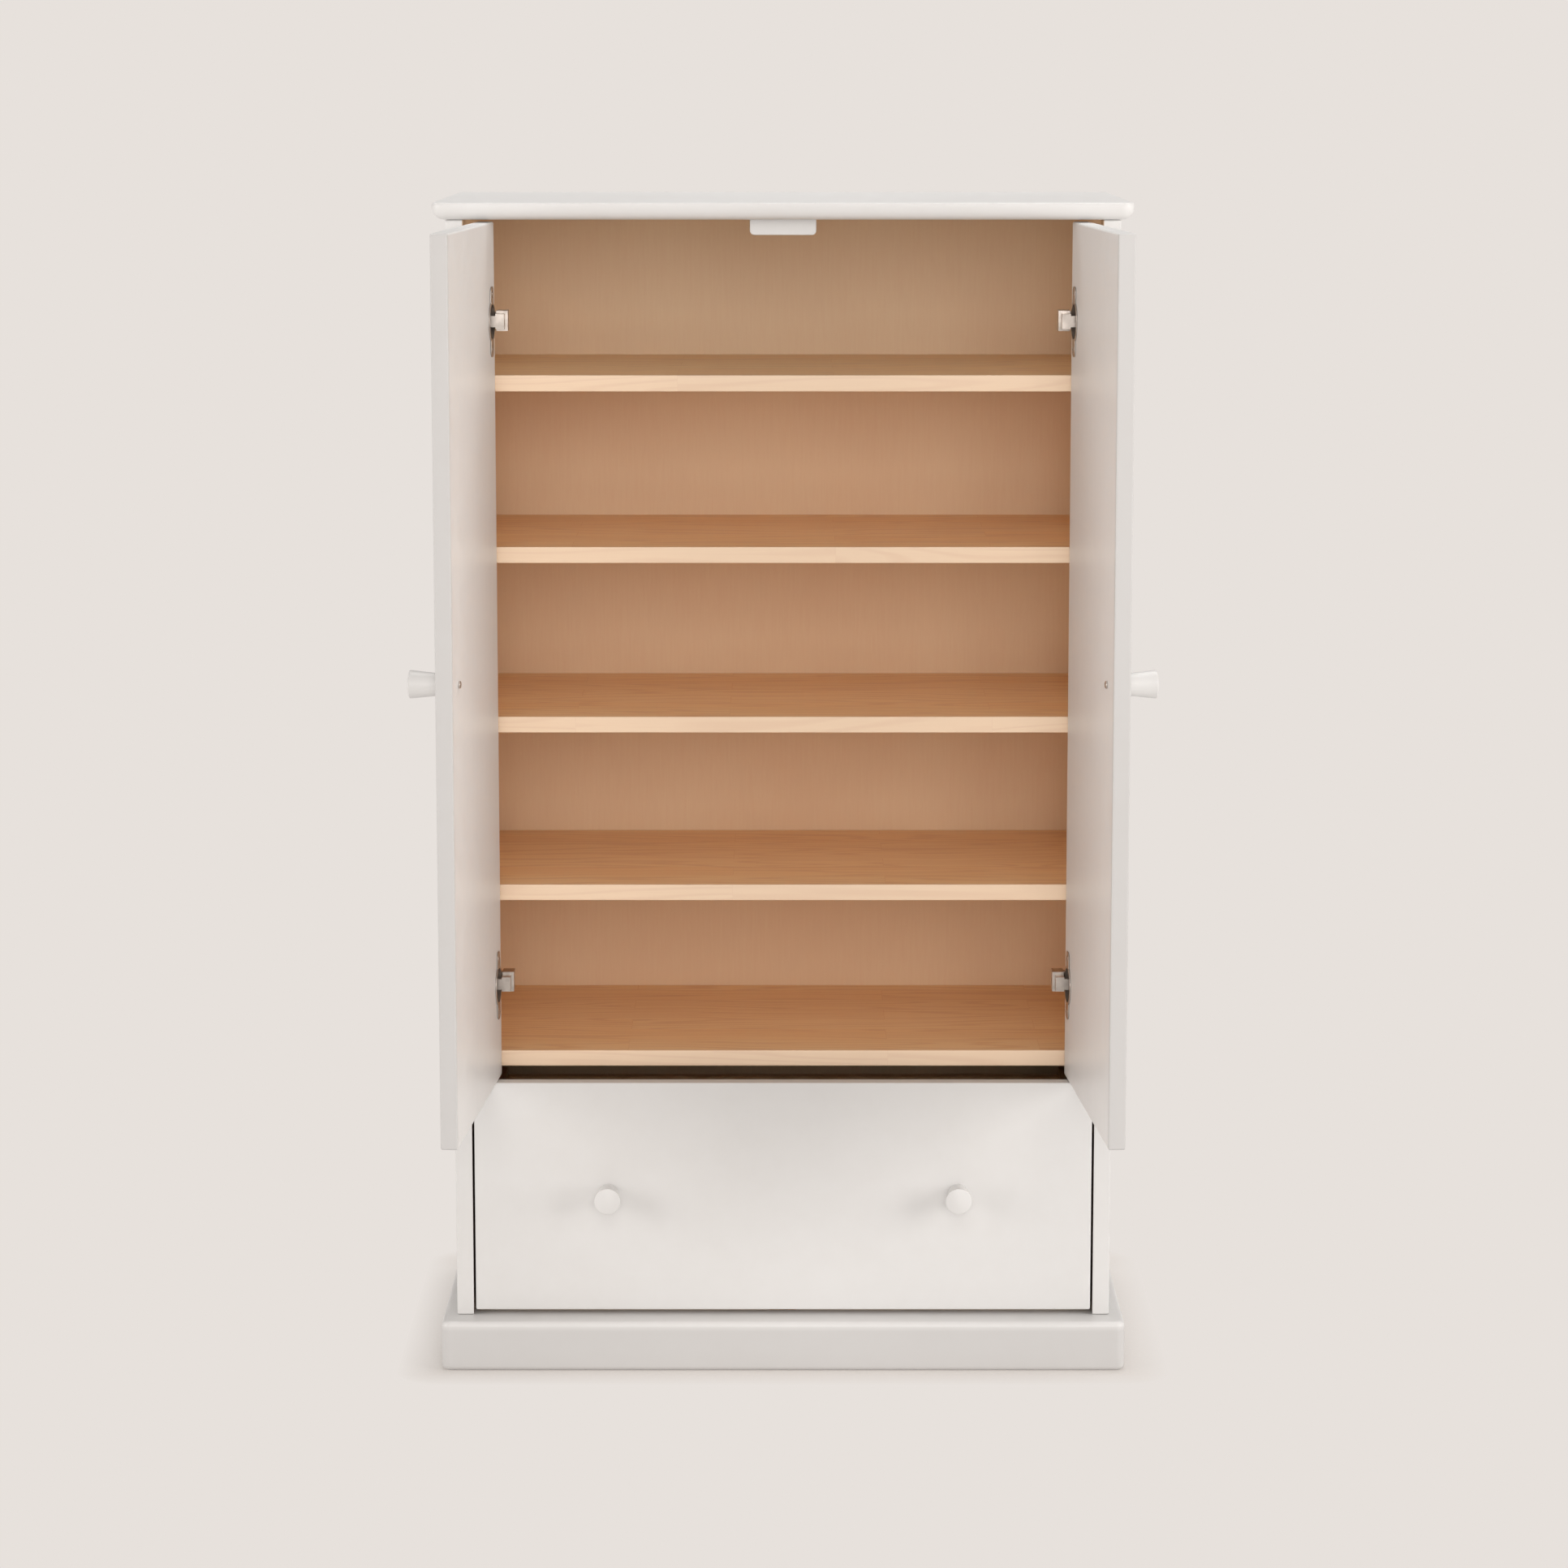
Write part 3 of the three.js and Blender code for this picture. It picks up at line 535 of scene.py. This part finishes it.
def drawer_knob_screws():
    """The screw heads behind the drawer front that hold its knobs."""
    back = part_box("drawer_front")[1].y
    heads = []
    for hand in ("left", "right"):
        knob = centre_of(f"drawer_knob_{hand}")
        heads.append((Vector((knob.x, back, knob.z)), (0, 1, 0), *KNOB_SCREW_HEAD))
    screw_set("drawer_knob_screws", "drawer", heads, [metal, recess])


# ---- put the materials on the nodes ----------------------------------------------------------------

smoothing = smoothing_group(SMOOTH_LIMIT)
paint = white_paint()
metal = nickel()
recess = recess_metal()
inner_x = abs(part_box("side_left")[1].x) + FACING_MARGIN
shelf_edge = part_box("shelf_1")[0].y + HIGHLIGHT_DEPTH
floor_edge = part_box("compartment_floor")[0].y + HIGHLIGHT_DEPTH
shelf_pine = pine("shelf_pine", along=0, across=1, edge_y=shelf_edge)
floor_pine = pine("floor_pine", along=0, across=1, edge_y=floor_edge)
drawer_side_pine = pine("drawer_side_pine", along=1, across=2, row_height=0.09, stave=0.9)
drawer_back_pine = pine("drawer_back_pine", along=0, across=2, row_height=0.09, stave=0.9)
tan_board = back_board()
runner_beech = beech()
sides = side_paint("side_paint", inner_x, bay_top=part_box("compartment_floor")[0].z)
plinth_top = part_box("plinth_front")[1].z
full_shade, no_shade = [plinth_top - below for below in PLINTH_SHADE]
# painted shade on the plinth's front and sides, below its paler top
plinth_shaded_paint = paint_with_shade("plinth_shaded_paint", index=2, full_shade_at=full_shade, no_shade_at=no_shade)
door_tip = min(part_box("door_left")[0].y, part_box("door_right")[0].y)
full_shade, no_shade = [door_tip + behind for behind in DOOR_EDGE_SHADE]
# painted shade on the doors' free edges
door_shaded_paint = paint_with_shade("door_shaded_paint", index=1, full_shade_at=full_shade, no_shade_at=no_shade)

LOOKS = {
    "shelf_pin": metal,
    "shelf": shelf_pine,
    "compartment_floor": floor_pine,
    "base_panel": shelf_pine,
    "plinth": plinth_shaded_paint,
    "plinth_back": drawer_back_pine,
    "plinth_bearer": drawer_side_pine,
    "door_left": door_shaded_paint,
    "door_right": door_shaded_paint,
    "back_panel": tan_board,
    "side": sides,
    "hinge": metal,
    "knob_screw": metal,
    "drawer_side": drawer_side_pine,
    "drawer_back": drawer_back_pine,
    "drawer_bottom": tan_board,
    "drawer_runner": runner_beech,
}


def look_of(node_name):
    """The look with the longest key that starts the node's name, or else white paint."""
    starts = [start for start in LOOKS if node_name.startswith(start)]
    return LOOKS[max(starts, key=len)] if starts else paint


for name, node in frame["nodes"].items():
    node.data.materials.clear()
    node.data.materials.append(look_of(name))
    shade_smooth(node, smoothing)

for hand in ("left", "right"):
    flange_screws(hand)
    plate_screws(hand)
back_nails()
drawer_knob_screws()

# ---- floor, light and camera -----------------------------------------------------------------------

FLOOR_HALF = 30.0
FLOOR_DULL_REACH = 0.05  # how far from the plinth the floor still takes a shadow
AMBIENT = 0.36  # the world's strength as a light
MIDDLE = (0.0, 0.0, 0.7)  # of the armoire, roughly

# Place, point aimed at, width and height, watts, colour.
SOFT_BOXES = {
    "front": ((0.3, -7.0, 2.3), MIDDLE, (3.0, 2.2), 105.0, (1.0, 0.965, 0.93)),
    "high": ((0.2, -4.9, 4.3), MIDDLE, (3.2, 2.2), 45.0, (1.0, 0.965, 0.93)),
    "right": ((4.4, -2.1, 1.6), (-0.3, -0.35, 0.8), (2.8, 2.6), 138.0, (1.0, 0.97, 0.94)),
    "left": ((-4.4, -2.1, 1.6), (0.3, -0.35, 0.8), (2.8, 2.6), 100.0, (1.0, 0.965, 0.935)),
    "above": ((0.2, 0.7, 3.6), (0.0, 0.1, 1.29), (2.2, 1.4), 56.0, (1.0, 0.99, 0.975)),
}


def floor():
    half = FLOOR_HALF
    mesh = bpy.data.meshes.new("floor")
    corners = [(-half, -half, 0), (half, -half, 0), (half, half, 0), (-half, half, 0)]
    mesh.from_pydata(corners, [], [(0, 1, 2, 3)])
    low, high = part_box("plinth_front")
    half_depth = max(abs(low.y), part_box("back_panel")[1].y)
    mesh.materials.append(floor_surface(high.x, half_depth, FLOOR_DULL_REACH))
    ground = bpy.data.objects.new("floor", mesh)
    bpy.context.scene.collection.objects.link(ground)


def backdrop_light(ambient):
    """The world: the backdrop's colour to the camera, and a soft even light on the armoire."""
    world = bpy.data.worlds.new("studio")
    world.use_nodes = True
    bpy.context.scene.world = world
    tree = world.node_tree
    background = tree.nodes["Background"]
    background.inputs["Color"].default_value = (*BACKDROP, 1.0)
    seen = tree.nodes.new("ShaderNodeLightPath")
    strength = tree.nodes.new("ShaderNodeMapRange")
    strength.inputs["To Min"].default_value = ambient
    strength.inputs["To Max"].default_value = 1.0
    tree.links.new(seen.outputs["Is Camera Ray"], strength.inputs["Value"])
    tree.links.new(strength.outputs[0], background.inputs["Strength"])


def soft_box(name, place, aim, size, power, colour):
    light = bpy.data.lights.new(name, "AREA")
    light.shape = "RECTANGLE"
    light.size, light.size_y = size
    light.energy = power
    light.color = colour
    lamp = bpy.data.objects.new(name, light)
    lamp.location = place
    lamp.visible_camera = False
    lamp.rotation_euler = (Vector(aim) - Vector(place)).to_track_quat("-Z", "Y").to_euler()
    bpy.context.scene.collection.objects.link(lamp)


def camera():
    data = bpy.data.cameras.new("camera")
    data.lens = CAMERA_LENS
    data.shift_y = CAMERA_SHIFT
    eye = bpy.data.objects.new("camera", data)
    eye.location = (CAMERA_OFFSET, -CAMERA_DISTANCE, CAMERA_HEIGHT)
    eye.rotation_euler = (math.radians(90 - CAMERA_PITCH), 0, 0)
    bpy.context.scene.collection.objects.link(eye)
    bpy.context.scene.camera = eye


floor()
backdrop_light(AMBIENT)
for name, light in SOFT_BOXES.items():
    soft_box(name, *light)
camera()
bpy.context.scene.view_settings.view_transform = "Standard"
bpy.context.scene.view_settings.look = "None"
